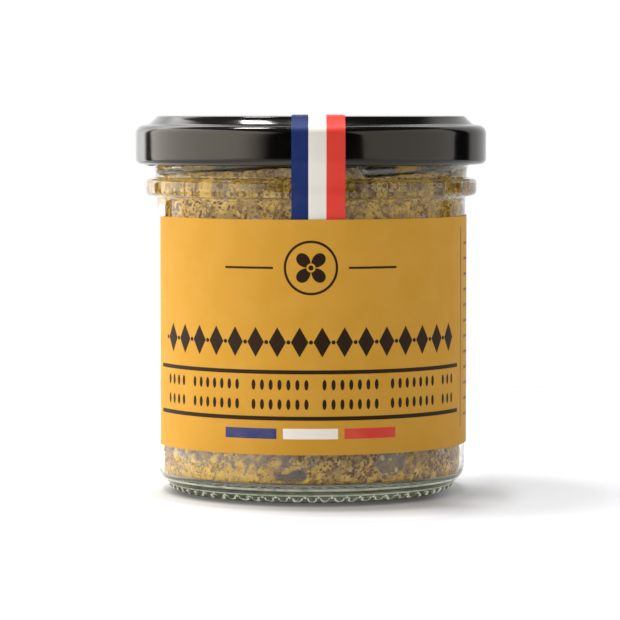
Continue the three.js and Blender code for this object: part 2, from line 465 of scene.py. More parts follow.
@dataclass(frozen=True)
class ClearGlass:
    """Bottle glass with a faint green in its thick parts, and painted shade, highlights and glow on its base.
    """

    tint: Colour = (0.985, 0.995, 0.985)
    deep: Colour = (0.77, 0.79, 0.71)
    density: float = 80.0
    base_z: float = 4.2
    # dark: painted shade for the base's dark band and between the crescents; pale: painted highlights; the
    # glow strength below makes the pale marks a painted glow
    dark: Colour = (0.055, 0.062, 0.042)
    pale: Colour = (0.94, 0.97, 0.80)
    painted_base_glow: float = 0.48
    stipple_count: int = 64
    crescent_z: float = 0.95
    crescent_high: float = 0.8
    skin_radius: float = 27.4
    skin_top_z: float = 2.95
    ior: float = 1.52
    ripple_pitch: float = 7.0
    ripple: float = 0.012

    def painted_base_light(self, bench: NodeBench, glass: bpy.types.NodeSocket) -> bpy.types.NodeSocket:
        """Paints the base's pale lines, dark band and crescents round the stipples over the glass, as painted
        shade, highlights and glow.
        """
        x, y, z = bench.millimetres()
        turn = bench.maths("ARCTAN2", x, 0 - y) * (self.stipple_count / (2 * math.pi))
        aside = ((turn + 0.5).fraction() - 0.5) * 3.2 + (bench.noise(2.3, 1.0) - 0.5) * 1.3
        up = (z - self.crescent_z) / self.crescent_high + (bench.noise(1.5, 1.0) - 0.5) * 1.1
        crescent = bench.away(aside, up).between(0.74, 1.14, 0.16) * z.below(1.0, 0.25)
        knot = (abs(abs(aside) - 1.6) + abs(z - 1.05) * 1.4).below(0.42, 0.2)
        lines = z.between(1.34, 1.62, 0.14) | z.between(2.5, 3.3, 0.25)
        patchy = bench.noise(1.6, 1.0).above(0.42, 0.3)
        # pale marks are painted highlights and glints; the rest of the painted skin is painted shade
        pale = (crescent | knot) * (0.45 + 0.55 * patchy) | lines * (0.6 + 0.4 * patchy)
        skin = bench.principled({
            "Base Color": bench.mix(pale, self.dark, self.pale),
            "Roughness": 0.12,
            "Normal": bench.bump(pale, 0.12),
            "IOR": self.ior,
            # painted glow: the pale marks glow though the base is no lamp
            "Emission Color": bench.mix(pale, self.dark, self.pale),
            "Emission Strength": self.painted_base_glow,
        })
        outside = bench.away(x, y).above(self.skin_radius, 0.4)
        share = outside * z.below(self.skin_top_z, 0.3) * (0.42 + 0.22 * z.below(1.4, 0.1))
        return bench.node("ShaderNodeMixShader", {}, {0: share, 1: glass, 2: skin}).outputs[0]

    def material(self) -> bpy.types.Material:
        """Glass that lets lamps through to what it holds."""
        material, bench = new_material("clear_glass")
        ripple = bench.noise(self.ripple_pitch, 1.0)
        glass = bench.principled({
            "Base Color": self.tint,
            "Roughness": 0.0,
            "IOR": self.ior,
            "Transmission Weight": 1.0,
            "Normal": bench.bump(ripple, self.ripple),
        })
        passing = bench.node("ShaderNodeBsdfTransparent", {}, {"Color": (0.93, 0.95, 0.93)})
        shadow = Value(bench, bench.node("ShaderNodeLightPath").outputs["Is Shadow Ray"])
        above_base = bench.millimetres()[2].above(self.base_z, 1.0)
        shaders = {0: shadow * above_base, 1: self.painted_base_light(bench, glass), 2: passing.outputs[0]}
        both = bench.node("ShaderNodeMixShader", {}, shaders)
        volume = bench.node("ShaderNodeVolumeAbsorption", {}, {"Color": self.deep, "Density": self.density})
        sockets = {"Surface": both.outputs[0], "Volume": volume.outputs[0]}
        bench.node("ShaderNodeOutputMaterial", {}, sockets)
        return material


@dataclass
class GlassJar:
    """The jar: foot with stipples, heel, body, bead, neck with thread ridges, and rim."""

    columns: int = 768
    foot_radius: float = 28.2
    foot_width: float = 2.6
    punt_height: float = 1.1
    heel_slope: float = 47.0
    heel_round: float = 3.6
    heel_top_z: float = 5.0
    heel_radius: float = 31.9
    body_radius: float = 31.95
    body_foot_z: float = 9.0
    bead_bottom_z: float = 60.8
    bead_top_z: float = 64.35
    bead_round: float = 1.0
    groove_radius: float = 32.2
    groove_top_z: float = 66.3
    finish_radius: float = 32.6
    finish_z: float = 68.0
    rim_round: float = 0.8
    bore_radius: float = 30.2
    neck_bore_radius: float = 29.3
    neck_bore_z: float = 64.0
    floor_z: float = 3.2
    floor_round: float = 2.0
    thread_count: int = 4
    thread_round: float = 1.2
    thread_radius: float = 32.5
    thread_start: float = 21.0
    thread_sweep: float = 72.0
    thread_start_z: float = 66.3
    thread_lead: float = 11.5
    stipple_radius: float = 1.05
    stipple_proud: float = 0.42
    stipple_up_cone: float = 0.27
    stipple_lean: Point = (0.93, -0.37)
    finish: ClearGlass = field(default_factory=ClearGlass)

    def __post_init__(self) -> None:
        """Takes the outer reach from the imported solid."""
        reach = Reach.of(Node.GLASS)
        self.bead_radius = reach.radius
        self.rim_z = float(reach.high[2])

    def heel_end(self) -> Point:
        """Where the heel's round meets the cone of the foot."""
        slope = math.radians(self.heel_slope)
        radius = self.heel_radius - self.heel_round * (1 - math.cos(slope))
        return radius, self.heel_top_z - self.heel_round * math.sin(slope)

    def bore(self, z: np.ndarray) -> np.ndarray:
        """The inner wall's radius at each height."""
        in_corner = np.clip(self.floor_z + self.floor_round - z, 0, self.floor_round)
        corner = self.floor_round - np.sqrt(self.floor_round**2 - in_corner**2)
        neck = (self.bore_radius - self.neck_bore_radius) * self.neck_share(z)
        return self.bore_radius - corner - neck

    def neck_share(self, z: np.ndarray) -> np.ndarray:
        """How far the inner wall has come in from the body to the neck, from 0 to 1."""
        low = self.bead_bottom_z - self.bead_round
        return np.clip((z - low) / (self.neck_bore_z - low), 0, 1) ** 2

    def outline(self) -> Outline:
        """The wall's section, from the middle of the punt, up outside and down inside."""
        foot_in = self.foot_radius - self.foot_width
        bead_corner = self.bead_radius - self.bead_round
        low_bead = self.bead_bottom_z + self.bead_round
        high_bead = self.bead_top_z - self.bead_round
        heel = (self.heel_radius - self.heel_round, self.heel_top_z)
        corner = (self.bore_radius - self.floor_round, self.floor_z + self.floor_round)
        rim_z = self.rim_z - self.rim_round
        path = Outline([(0.0, self.punt_height)])
        path.line(foot_in - 2 * self.punt_height, self.punt_height, 2)
        path.curve((foot_in - 0.5 * self.punt_height, self.punt_height), (foot_in, 0.25), 4)
        path.curve((foot_in + 0.2, 0.0), (foot_in + 0.8, 0.0), 2)
        path.line(self.foot_radius - 0.5, 0.0, 2)
        path.curve((self.foot_radius, 0.0), (self.foot_radius + 0.2, 0.35), 3)
        path.line(*self.heel_end(), 11)
        path.arc(heel, self.heel_round, -self.heel_slope, 0, 10)
        path.line(self.body_radius, self.body_foot_z, 2)
        path.line(self.body_radius, self.bead_bottom_z - 0.8, 6)
        path.curve((self.body_radius, self.bead_bottom_z), (self.body_radius + 0.7, self.bead_bottom_z), 4)
        path.arc((bead_corner, low_bead), self.bead_round, -90, 0, 6)
        path.arc((bead_corner, high_bead), self.bead_round, 0, 90, 6)
        path.curve((self.groove_radius, self.bead_top_z), (self.groove_radius, self.bead_top_z + 0.7), 3)
        path.line(self.finish_radius, self.finish_z, 14)
        path.line(self.finish_radius, self.finish_z + 3.4, 12)
        path.arc((self.finish_radius - self.rim_round, rim_z), self.rim_round, 0, 90, 4)
        path.arc((self.neck_bore_radius + self.rim_round, rim_z), self.rim_round, 90, 180, 4)
        path.line(self.neck_bore_radius, self.neck_bore_z, 4)
        for z in np.linspace(self.neck_bore_z, self.bead_bottom_z - self.bead_round, 9)[1:]:
            path.line(float(self.bore(np.array(z))), float(z))
        path.line(self.bore_radius, corner[1], 6)
        path.arc(corner, self.floor_round, 0, -90, 8)
        path.line(0.0, self.floor_z, 3)
        return path

    def raise_threads(self, points: np.ndarray) -> np.ndarray:
        """The outer radius where a thread ridge stands, and zero elsewhere."""
        _, angle = polar(points)
        top = np.zeros(len(points))
        for i in range(self.thread_count):
            start = self.thread_start + i * 360 / self.thread_count
            along = (angle - start + 180) % 360 - 180
            along = np.where(along < -90, along + 360, along)
            on_ridge = np.clip(along, 0, self.thread_sweep)
            past_end = np.radians(along - on_ridge) * self.thread_radius
            middle = self.thread_start_z + self.thread_lead * on_ridge / 360
            away = np.hypot(past_end, points[:, 2] - middle)
            ridge = self.thread_radius + np.sqrt(np.clip(self.thread_round**2 - away**2, 0, None))
            top = np.maximum(top, np.where(away < self.thread_round, ridge, 0))
        return top

    def stipple_height(self, points: np.ndarray) -> np.ndarray:
        """How far a stipple lifts each point off the foot's cone."""
        radius, angle = polar(points)
        end = np.array(self.heel_end())
        start = np.array((self.foot_radius, 0.0))
        middle = start + (end - start) * self.stipple_up_cone
        pitch = 360 / self.finish.stipple_count
        aside = np.radians((angle + pitch / 2) % pitch - pitch / 2) * middle[0]
        along = (np.stack((radius, points[:, 2]), 1) - middle) @ ((end - start) / np.linalg.norm(end - start))
        away = np.hypot(aside, along)
        cap = np.sqrt(np.clip(self.stipple_radius**2 - away**2, 0, None))
        return np.clip(cap - (self.stipple_radius - self.stipple_proud), 0, None)

    def build(self) -> None:
        """Turns the wall, then raises the threads and the stipples on it."""
        piece = turned("glass_wall", self.outline(), self.columns)
        points = points_of(piece)
        radius, angle = polar(points)
        z = points[:, 2]
        on_neck = (radius > self.groove_radius - 0.4) & (z > self.bead_top_z + 0.3) & (z < self.rim_z - 1)
        raised = np.where(on_neck, np.maximum(radius, self.raise_threads(points)), radius)
        lean = self.stipple_lean
        on_cone = (z > 0.05) & (z < self.heel_top_z) & (radius > self.foot_radius - 0.3)
        lift = np.where(on_cone, self.stipple_height(points), 0)
        lowered = np.where(on_cone, np.maximum(z + lift * lean[1], 0.01), z)
        move_points(piece, around(raised + lift * lean[0], angle, lowered))
        dress(piece, self.finish.material(), Node.GLASS)


# Mustard


@dataclass(frozen=True)
class Pulp:
    """Ground mustard: moist yellow paste with husk specks, with painted shade where it stands back from the
    glass.
    """

    bright: Colour = (0.76, 0.48, 0.082)
    tan: Colour = (0.46, 0.285, 0.082)
    husk: Colour = (0.13, 0.060, 0.028)
    brown: Colour = (0.17, 0.080, 0.025)
    # painted shade where the mustard stands back from the glass, and darker painted shade in the deepest
    # hollows
    recess_painted_shade: Colour = (0.145, 0.072, 0.022)
    shade: Colour = (0.025, 0.022, 0.010)

    def material(self) -> bpy.types.Material:
        """Paste with specks at three sizes."""
        material, bench = new_material("mustard_pulp")
        recess = bench.attribute("recess")
        fine = bench.noise(0.45, 3.0)
        patches = bench.noise(2.4, 2.0)
        dry = 1 - 0.8 * bench.attribute("fresh")
        crease = bench.cells(1.6, "DISTANCE_TO_EDGE", bench.warped(0.8, 1.5)).below(0.09, 0.14)
        crease = crease * bench.noise(2.2, 1.0).above(0.5, 0.2)
        colour = bench.mix(patches.above(0.5, 0.16) * dry, self.bright, self.tan)
        blots = bench.noise(1.1, 1.5).above(0.6, 0.1)
        colour = bench.mix(crease * 0.6 | blots * dry * 0.75, colour, self.brown)
        specks = bench.cells(0.8).below(0.25, 0.15) * bench.noise(1.6, 1.0).above(0.48, 0.1)
        colour = bench.mix(specks * 0.75 + fine.above(0.64, 0.12) * 0.5, colour, self.husk)
        # Painted shade by how far the mustard stands back: darker in hollows, near black in the deepest
        colour = bench.mix(recess.above(0.38, 0.6) * 0.8, colour, self.recess_painted_shade)
        colour = bench.mix(recess.above(1.38, 0.16) * 0.85, colour, self.shade)
        height = fine + bench.cells(0.9) * 0.6 - crease
        return finished(material, bench, {
            "Base Color": colour,
            "Roughness": 0.42 + 0.3 * fine,
            "Normal": bench.bump(height, 0.16),
            "Specular IOR Level": 0.08,
        })


@dataclass(frozen=True)
class Grain:
    """Bits in the mustard that run from one colour to another."""

    name: str
    dark: Colour
    pale: Colour
    roughness: float

    def material(self) -> bpy.types.Material:
        """A skin with a tone of its own for each bit."""
        material, bench = new_material(self.name)
        tone = bench.attribute("tone")
        fine = bench.noise(0.3, 2.0)
        return finished(material, bench, {
            "Base Color": bench.mix(tone * 0.8 + fine * 0.3, self.dark, self.pale),
            "Roughness": self.roughness + 0.2 * fine,
            "Normal": bench.bump(fine, 0.05),
            "Specular IOR Level": 0.08,
        })


@dataclass(frozen=True)
class Patch:
    """A place on the glass where the mustard stands back by a depth, or meets the glass."""

    angle: float
    z: float
    wide: float
    high: float
    depth: float
    ragged: float = 0.35
    rough: float = 1.0
    slant: float = 0.0


@dataclass(frozen=True)
class Scatter:
    """One kind of bit to strew over the mustard."""

    name: str
    count: int
    smallest: float
    largest: float
    flat: float
    sunk: float
    grip: float
    finish: Grain


@dataclass
class Mustard:
    """The filling: lumpy where it shows, with hollows, and bits of seed and husk in it."""

    jar: GlassJar
    columns: int = 640
    grip: float = 0.04
    stand_off: float = 0.22
    level_z: float = 65.7
    tilt: float = 0.5
    lump: float = 0.45
    climb: float = 2.1
    deepest: float = 1.3
    label_low_z: float = 9.9
    label_high_z: float = 56.75
    clear_left: float = -86.0
    clear_right: float = 87.0
    clear_top_z: float = 48.5
    bare_angle: float = 26.0
    bed_angle: float = -37.0
    bed_z: float = 5.3
    bed_wide: float = 11.5
    bed_high: float = 2.9
    strip_reach: Point = (-118.0, -70.0)
    low_share: float = 0.36
    high_share: float = 0.7
    finish: Pulp = field(default_factory=Pulp)

    def patches(self) -> list[Patch]:
        """The hollows and lumps that show low at the front."""
        haze = [Patch(-38, 9.6, 14.5, 2.6, 0.6), Patch(-9, 9.2, 6.0, 2.2, 0.65)]
        bed = [Patch(self.bed_angle, self.bed_z, self.bed_wide, 2.7, -self.grip, 0.25, 0.0)]
        void = [Patch(-9.4, 5.1, 2.4, 0.8, 1.5, 0.12, 0.0), Patch(-5.0, 5.6, 2.0, 1.25, 1.5, 0.12, 0.0)]
        pocket = [Patch(31.7, 7.9, 3.4, 3.0, 0.8, 0.12, 0.2)]
        places = ((-57, 6.3, 0.3), (-53, 7.2, -0.6), (-47, 6.4, 0.7), (-43, 7.4, -0.4), (-36, 6.6, 0.6),
                  (-31, 7.3, -0.7), (-25, 6.5, 0.5), (-20.5, 7.0, 0.8))
        gaps = [Patch(a, z, 0.45, 1.2, 0.5, 0.55, 0.6, slant) for a, z, slant in places]
        touching = ((-13.5, 8.2, 1.5), (-4.5, 8.6, 2.2))
        flecks = [Patch(a, z, wide, 1.1, -self.grip, 0.5, 0.0) for a, z, wide in touching]
        return haze + pocket + bed + void + gaps + flecks

    def recess(self, angle: np.ndarray, z: np.ndarray) -> np.ndarray:
        """How far the mustard stands back from the wall at each place, in millimetres."""
        wall = around(self.jar.bore_radius, angle, z)
        clump = wander(wall, 4.2) + 0.6 * wander(wall, 1.7, 5.0) + 0.3 * wander(wall, 0.9, 8.0)
        turn = (angle + 180) % 360 - 180 + 4.0 * wander(wall, 5.0, 15.0)
        in_bead = ease(z, 58.5, 59.5) * ease(-z, -65.2, -64.6)
        low = ease(self.clear_top_z - z, -3.5, 3.5)
        clear = ease(-np.abs(turn - self.clear_left), -15, -8) * (1 - in_bead)
        clear += ease(-np.abs(turn - self.clear_right), -12, -6) * np.maximum(low, in_bead)
        near = 0.42 + 0.25 * ease(z, 50, 56) - 1.9 * clear
        depth = np.clip(-(clump + near) * 1.1, -self.grip, self.deepest)
        for patch in self.patches():
            aside = np.radians((angle - patch.angle + 180) % 360 - 180) * self.jar.bore_radius
            aside = aside - patch.slant * (z - patch.z)
            away = np.hypot(aside / patch.wide, (z - patch.z) / patch.high) + patch.ragged * clump
            share = ease(-away, -1.1, -0.8)
            depth = depth * (1 - share) + (patch.depth + 0.8 * patch.rough * clump) * share
        off_floor = ease(-z, -4.25, -3.85)
        depth = np.clip(depth, -self.grip, self.deepest + 0.2)
        return depth * (1 - off_floor) + np.maximum(depth, self.stand_off) * off_floor

    def outline(self) -> Outline:
        """The section of the filling, from the floor's middle round to the top's middle."""
        jar = self.jar
        corner = jar.bore_radius - jar.floor_round
        path = Outline([(0.0, jar.floor_z)])
        path.line(corner, jar.floor_z, 6)
        path.arc((corner, jar.floor_z + jar.floor_round), jar.floor_round, -90, 0, 16)
        path.line(jar.bore_radius, self.label_low_z + 1, 14)
        path.line(jar.bore_radius, self.label_high_z - 1, 38)
        for z in np.linspace(self.label_high_z - 1, self.level_z - 0.3, 40)[1:]:
            path.line(float(jar.bore(np.array(z))), float(z))
        path.line(jar.neck_bore_radius - 0.5, self.level_z)
        path.line(0.0, self.level_z, 20)
        return path

    def build_core(self) -> None:
        """Turns the filling, then draws it back into hollows and heaps up its top."""
        piece = turned("mustard_core", self.outline(), self.columns)
        points = points_of(piece)
        radius, angle = polar(points)
        z = points[:, 2]
        top = ease(z, self.level_z - 1.6, self.level_z - 0.2)
        near_wall = ease(radius, 21.0, 26.0)
        depth = self.recess(angle, z) * near_wall + self.stand_off * (1 - near_wall)
        down = np.clip((self.jar.floor_z + self.jar.floor_round - z) / self.jar.floor_round, 0, 1)
        out = np.sqrt(1 - down**2) * np.where(z > self.level_z - 0.05, 0.0, 1.0)
        lumps = self.lump * (wander(points, 5.0, 9.0) + 0.5 * wander(points, 2.0, 3.0))
        bare = ease(-np.abs(angle - self.bare_angle), -9, -5)
        smeared = ease(radius, 28.2, 28.7) * ease(wander(points, 8.0, 4.0), -0.8, 0.0) * (1 - bare)
        rise = top * (lumps + self.climb * smeared - self.tilt * points[:, 0] / self.jar.neck_bore_radius)
        move_points(piece, around(radius - depth * out, angle, z + rise + depth * down))
        carry(piece, "recess", np.clip(depth, 0, None))
        aside = np.radians(angle - self.bed_angle) * radius / self.bed_wide
        off_bed = np.hypot(aside, (z - self.bed_z) / self.bed_high)
        carry(piece, "fresh", ease(-off_bed, -1.15, -0.8))
        dress(piece, self.finish.material(), Node.MUSTARD)

    def strewn_places(self, count: int, draw: np.random.Generator) -> tuple[np.ndarray, np.ndarray]:
        """Angles and heights of bits, spread over what the label leaves bare."""
        tries = 3 * count
        low = draw.random(tries) < self.low_share
        high = draw.random(tries) < self.high_share
        z_low = draw.uniform(self.jar.floor_z + 1.5, self.label_low_z + 1.0, tries)
        z_high = draw.uniform(self.label_high_z - 1.0, self.level_z - 0.4, tries)
        z_gap = draw.uniform(self.label_low_z, self.label_high_z, tries)
        in_gap = ~low & ~high
        angle = np.where(in_gap, draw.uniform(*self.strip_reach, tries), draw.uniform(-180, 180, tries))
        z = np.where(low, z_low, np.where(high, z_high, z_gap))
        crowd = wander(around(self.jar.bore_radius, angle, z), 5.5, 12.0)
        pale = ease(-np.abs(angle + 38), -32, -26) * ease(-z, -12, -10)
        hollow = (self.recess(angle, z) > 0.85) & (np.abs(angle) < 60)
        wanted = draw.random(tries) - 1.1 * crowd + 0.8 * pale + 2.0 * hollow
        chosen = np.argsort(wanted)[:count]
        return angle[chosen], z[chosen]

    def strew(self, kind: Scatter, draw: np.random.Generator) -> None:
        """Joins many copies of one small ball, each stretched, turned and set into the mustard's face."""
        ball_sizes = {"segments": 7, "ring_count": 5, "radius": MM}
        piece = new_piece(kind.name, bpy.ops.mesh.primitive_uv_sphere_add, **ball_sizes)
        ball = points_of(piece)
        faces = [tuple(face.vertices) for face in piece.data.polygons]
        angle, z = self.strewn_places(kind.count, draw)
        size = kind.smallest + (kind.largest - kind.smallest) * draw.random(kind.count) ** 2.2
        depth = self.recess(angle, z)
        stretch = draw.uniform(0.75, 1.25, (kind.count, 3)) * size[:, None] / 2
        stretch[:, 1] *= kind.flat
        spin = draw.uniform(0, 2 * math.pi, kind.count)
        wobble = 1 + 0.12 * draw.standard_normal((kind.count, len(ball), 1))
        local = ball[None] * stretch[:, None] * wobble
        cosine, sine = np.cos(spin)[:, None], np.sin(spin)[:, None]
        aside = local[:, :, 0] * cosine - local[:, :, 2] * sine
        up = local[:, :, 0] * sine + local[:, :, 2] * cosine
        middle = self.jar.bore(z) - depth - stretch[:, 1] * kind.sunk
        out = middle[:, None] - local[:, :, 1]
        height = np.maximum(z[:, None] + up, self.jar.floor_z + self.stand_off)
        out = np.minimum(out, self.jar.bore(height) + kind.grip)
        turn = angle[:, None] + np.degrees(aside / self.jar.bore_radius)
        points = around(out.ravel(), turn.ravel(), height.ravel())
        steps = np.arange(kind.count) * len(ball)
        all_faces = [tuple(corner + step for corner in face) for step in steps.tolist() for face in faces]
        piece.data.clear_geometry()
        piece.data.from_pydata((points * MM).tolist(), [], all_faces)
        bpy.ops.object.shade_smooth()
        carry(piece, "tone", np.repeat(draw.random(kind.count), len(ball)))
        dress(piece, kind.finish.material())

    def build(self) -> None:
        """Makes the filling and strews its bits."""
        self.build_core()
        seed_skin = Grain("seed_skin", (0.085, 0.034, 0.006), (0.30, 0.125, 0.028), 0.3)
        husk_skin = Grain("husk_skin", (0.42, 0.24, 0.05), (0.80, 0.57, 0.16), 0.45)
        kinds = (
            Scatter("mustard_seeds", 3300, 0.32, 1.3, flat=0.75, sunk=0.5, grip=0.09, finish=seed_skin),
            Scatter("mustard_husks", 1800, 0.4, 1.6, flat=0.35, sunk=0.4, grip=0.07, finish=husk_skin),
        )
        draw = np.random.default_rng(SEED)
        for kind in kinds:
            self.strew(kind, draw)


# Lid


@dataclass(frozen=True)
class Lacquer:
    """Black gloss lacquer on tinplate."""

    colour: Colour = (0.0012, 0.0011, 0.0010)
    dust: Colour = (0.006, 0.0055, 0.005)
    sheen: Colour = (1.0, 0.93, 0.83)

    def material(self) -> bpy.types.Material:
        """Lacquer with a faint orange peel and a little dust."""
        material, bench = new_material("black_lacquer")
        peel = bench.noise(1.4, 1.0)
        dust = bench.noise(0.35, 3.0).above(0.68, 0.1)
        return finished(material, bench, {
            "Base Color": bench.mix(dust * 0.5, self.colour, self.dust),
            "Roughness": 0.09 + 0.05 * bench.noise(9.0, 2.0) + 0.08 * dust,
            "Normal": bench.bump(peel, 0.004),
            "Specular Tint": self.sheen,
        })


@dataclass
class Lid:
    """The twist-off lid: panel, sealing shoulder, skirt, rolled hem and lugs."""

    columns: int = 256
    sheet: float = 0.45
    panel_radius: float = 31.7
    panel_edge: float = 0.35
    panel_foot_radius: float = 33.7
    shoulder_drop: float = 1.9
    shoulder_round: float = 1.75
    hem_round: float = 1.1
    lug_count: int = 4
    lug_size: Triple = (5.2, 1.6, 0.8)
    lug_round: float = 0.35
    lug_angle: float = 11.0
    lug_rise: float = 0.1
    finish: Lacquer = field(default_factory=Lacquer)

    def __post_init__(self) -> None:
        """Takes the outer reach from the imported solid."""
        reach = Reach.of(Node.LID)
        self.radius = reach.radius
        self.hem_z = float(reach.low[2]) + self.lug_size[2] / 2 - self.lug_rise
        self.panel_z = float(reach.high[2])
        self.shoulder_z = self.panel_z - self.shoulder_drop

    def outside(self, path: Outline, grow: float = 0.0) -> Outline:
        """Follows the lid's outside up from the hem to the panel, a distance away from it."""
        corner = self.radius - self.shoulder_round
        path.line(self.radius + grow, self.hem_z + 2 * self.hem_round, 2)
        path.line(self.radius + grow, self.shoulder_z - self.shoulder_round, 4)
        path.arc((corner, self.shoulder_z - self.shoulder_round), self.shoulder_round + grow, 0, 90, 10)
        path.curve(
            (self.panel_foot_radius, self.shoulder_z + grow),
            (self.panel_foot_radius - 0.45, self.shoulder_z + 0.4 + grow),
            4,
        )
        edge = self.panel_edge
        path.line(self.panel_radius + edge + grow / 2, self.panel_z - edge + grow / 2, 2)
        rim = (self.panel_radius + edge / 2, self.panel_z + grow)
        path.curve(rim, (self.panel_radius - edge, self.panel_z + grow), 6)
        return path

    def outline(self) -> Outline:
        """The sheet's section: down inside, round the hem, and up outside."""
        outer = self.outside(Outline([(self.radius, self.hem_z + 1.5 * self.hem_round)])).points[1:]
        foot = (self.radius - self.sheet, self.hem_z + 1.5 * self.hem_round)
        inner = self.outside(Outline([foot]), -self.sheet).points[1:]
        hem = (self.radius - self.hem_round, self.hem_z + self.hem_round)
        path = Outline([(0.0, self.panel_z - self.sheet)])
        for radius, z in reversed(inner):
            path.line(radius, z)
        path.arc(hem, self.hem_round, 115, 360, 18)
        for radius, z in outer:
            path.line(radius, z)
        path.line(0.0, self.panel_z, 4)
        return path

    def add_lug(self, piece: bpy.types.Object, index: int) -> None:
        """Models one rounded lug inside the hem and joins it to the lid."""
        middle = self.radius - 2 * self.hem_round - self.lug_size[1] / 4
        place = (0, -middle * MM, (self.hem_z + self.lug_rise) * MM)
        lug = new_piece("lug", bpy.ops.mesh.primitive_cube_add, size=MM, location=place)
        with editing():
            bpy.ops.transform.resize(value=self.lug_size)
            bpy.ops.mesh.bevel(offset=self.lug_round * MM, segments=3)
        bpy.ops.object.transform_apply(location=True, rotation=False, scale=False)
        turn = math.radians(self.lug_angle + index * 360 / self.lug_count)
        points = points_of(lug)
        x = points[:, 0] * math.cos(turn) - points[:, 1] * math.sin(turn)
        y = points[:, 0] * math.sin(turn) + points[:, 1] * math.cos(turn)
        move_points(lug, np.stack((x, y, points[:, 2]), axis=1))
        bpy.ops.object.shade_smooth()
        piece.select_set(True)
        bpy.context.view_layer.objects.active = piece
        bpy.ops.object.join()

    def build(self) -> None:
        """Turns the lid and adds its lugs."""
        piece = turned("lid_shell", self.outline(), self.columns)
        for i in range(self.lug_count):
            self.add_lug(piece, i)
        dress(piece, self.finish.material(), Node.LID)


# Label


@dataclass(frozen=True)
class Print:
    """The label's print: a mustard field with dark rules, plain ornaments and three coloured bars."""

    field_colour: Colour = (0.538, 0.274, 0.0265)
    ink: Colour = (0.020, 0.009, 0.002)
    blue: Colour = (0.022, 0.035, 0.155)
    white: Colour = (0.80, 0.76, 0.70)
    red: Colour = (0.60, 0.045, 0.035)
    worn: Colour = (0.95, 0.62, 0.22)
    soft: float = 0.07
    rules: tuple[Area, ...] = (
        (-39.2, 38.2, 26.05, 26.85),
        (-39.2, 38.2, 16.8, 17.62),
        (40.1, 40.5, 13.6, 54.6),
        (-18.0, -7.6, 46.95, 47.4),
        (7.6, 18.0, 46.95, 47.4),
        (92.0, 132.0, 14.0, 14.5),
        (92.0, 132.0, 52.8, 53.3),
    )
    flowers: tuple[Triple, ...] = ((0.0, 47.2, 5.6), (112.0, 33.6, 9.0))
    bars_z: Point = (13.1, 15.2)
    front_reach: Point = (-36.5, 35.5)
    side_reach: Point = (43.0, 84.0)

    def box(self, u: Value, v: Value, reach: Area) -> Value:
        """A filled rectangle, by its left, right, bottom and top."""
        left, right, bottom, top = reach
        return u.between(left, right, self.soft) * v.between(bottom, top, self.soft)

    def lozenges(self, u: Value, v: Value, middle: float, half: Point, pitch: float) -> Value:
        """A row of lozenges along the label."""
        aside = abs((u / pitch).fraction() - 0.5) * pitch
        return (aside / half[0] + abs(v - middle) / half[1]).below(1.0, 0.06)

    def grains(self, u: Value, v: Value, middle: float, half: Point, pitch: float) -> Value:
        """A row of upright grains along the label."""
        aside = ((u / pitch).fraction() - 0.5) * pitch / half[0]
        up = (v - middle) / half[1]
        return (aside * aside + up * up).below(1.0, 0.2)

    def flower(self, bench: NodeBench, across: Value, up: Value, size: float) -> Value:
        """A four-petalled flower in a ring, by the way across and up from its middle."""
        away = bench.away(across, up)
        turn = bench.maths("ARCTAN2", up, across)
        petal = abs((turn * 2 + math.pi / 2).cosine()) ** 0.6 * (0.66 * size)
        petals = (away - petal).below(0.0, self.soft) * away.above(0.16 * size, self.soft)
        ring = away.between(0.88 * size, 0.97 * size, self.soft)
        return petals | ring | away.below(0.09 * size, self.soft)

    def inked(self, bench: NodeBench, u: Value, v: Value) -> Value:
        """Where the print is dark: rows of ornaments, rules and flowers."""
        front = u.between(*self.front_reach, self.soft)
        side = u.between(*self.side_reach, self.soft)
        in_groups = (u / 14.4).fraction().above(0.13, 0.01)
        ink = front * self.lozenges(u, v, 32.4, (1.75, 3.0), 4.5)
        ink = ink | front * self.grains(u + 2.25, v, 32.4, (0.42, 0.42), 4.5)
        for row in (23.9, 20.0):
            ink = ink | front * self.grains(u, v, row, (0.42, 1.05), 1.8) * in_groups
        for row in range(12):
            ink = ink | side * self.grains(u, v, 16.0 + 3.2 * row, (0.5, 0.32), 1.25)
        for rule in self.rules:
            ink = ink | self.box(u, v, rule)
        for middle_u, middle_v, size in self.flowers:
            ink = ink | self.flower(bench, u - middle_u, v - middle_v, size)
        return ink

    def material(self, start: float, width: float, low: float, high: float) -> bpy.types.Material:
        """Print on the sheet.

        Args:
            start: where the sheet begins, in millimetres along it from the front.
            width: the sheet's length round the jar.
            low: its lower edge's height.
            high: its upper edge's height.

        Returns:
            The material.
        """
        material, bench = new_material("printed_paper")
        sheet = bench.node("ShaderNodeUVMap", {"uv_map": "sheet"}).outputs[0]
        u_share, v_share, _ = bench.axes(sheet)
        u = u_share * width + start
        v = v_share * (high - low) + low
        ink = self.inked(bench, u, v)
        colour = bench.mix(ink, self.field_colour, self.ink)
        for left, right, bar in ((-18, -6.9, self.blue), (-5.6, 5.4, self.white), (6.7, 17.8, self.red)):
            colour = bench.mix(self.box(u, v, (left, right, *self.bars_z)), colour, bar)
        fibre = bench.noise(0.22, 3.0, bench.stretched((1.0, 1.0, 0.35)))
        tooth = bench.noise(6.0, 3.0)
        colour = bench.mix(tooth.above(0.5, 0.5) * (1 - ink) * 0.06, colour, self.worn)
        return finished(material, bench, {
            "Base Color": colour,
            "Roughness": 0.5 + 0.16 * fibre - 0.1 * ink,
            "Normal": bench.bump(fibre, 0.012),
            "Specular IOR Level": 0.13,
        })


